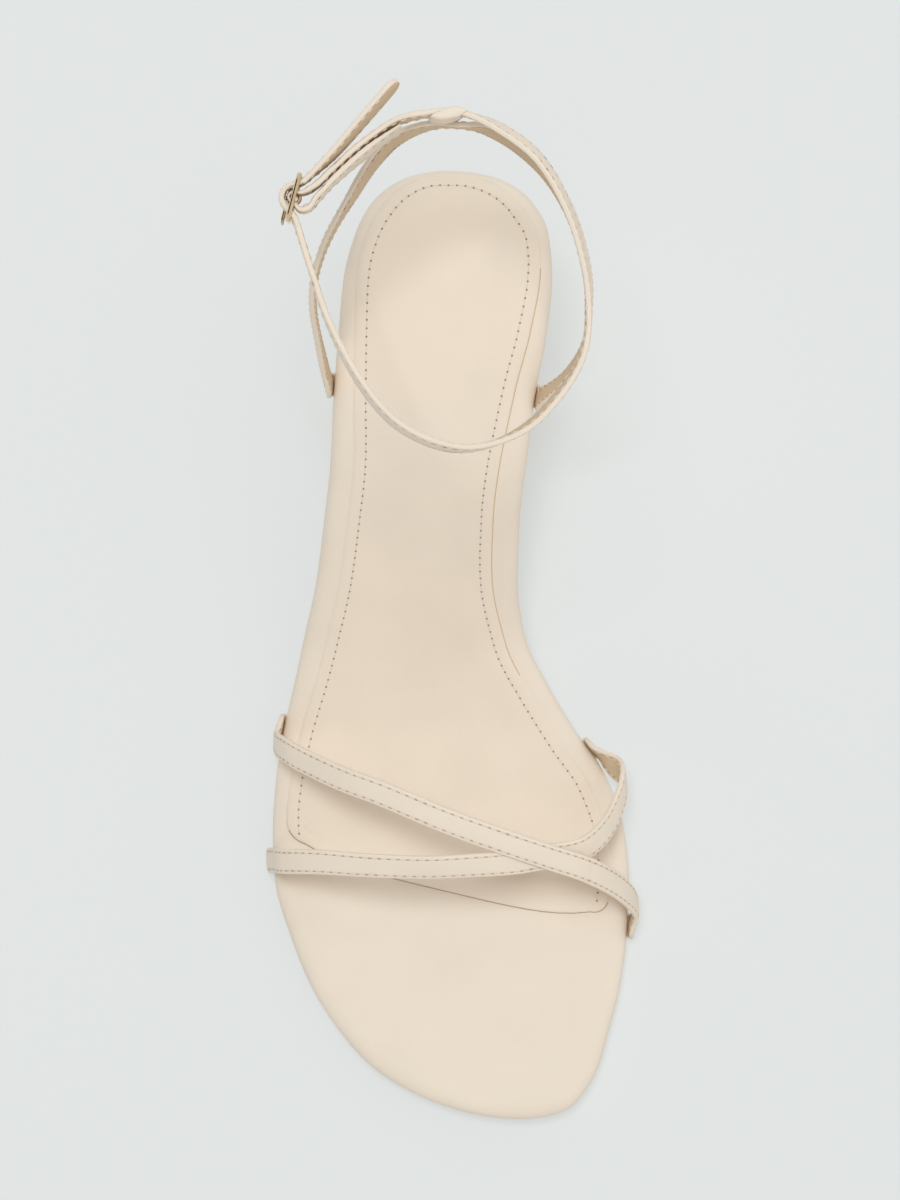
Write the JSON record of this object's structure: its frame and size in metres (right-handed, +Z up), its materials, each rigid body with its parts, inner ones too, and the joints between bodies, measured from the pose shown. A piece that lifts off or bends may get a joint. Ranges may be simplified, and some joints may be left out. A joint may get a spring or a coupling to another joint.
{
  "type": "strappy heeled sandal",
  "caption": "Women's heeled sandal for the right foot in smooth cream leather, with thin crossed toe straps, a heel sling and a buckled ankle strap",
  "frame": {"origin": "middle of the face that the heel tip stands on", "axes": "+X towards the big-toe side, +Y towards the heel, +Z up; the toe points to -Y"},
  "size_m": [0.0962, 0.2506, 0.1431],
  "materials": {
    "cream_leather": "smooth full-grain cover, satin",
    "sock_leather": "smooth lining leather, satin",
    "outsole_leather": "plain, matte",
    "tip_rubber": "moulded, matte",
    "gold_metal": "pale gold plating, polished"
  },
  "bodies": {
    "root": {"footbed": "cream_leather", "insole_sock": "sock_leather", "outsole": "outsole_leather", "heel": "cream_leather", "heel_tip": "tip_rubber", "toe_straps": "cream_leather", "heel_sling": "cream_leather", "ankle_strap": "cream_leather", "buckle_frame": "gold_metal", "buckle_prong": "gold_metal"}
  },
  "joints": []
}
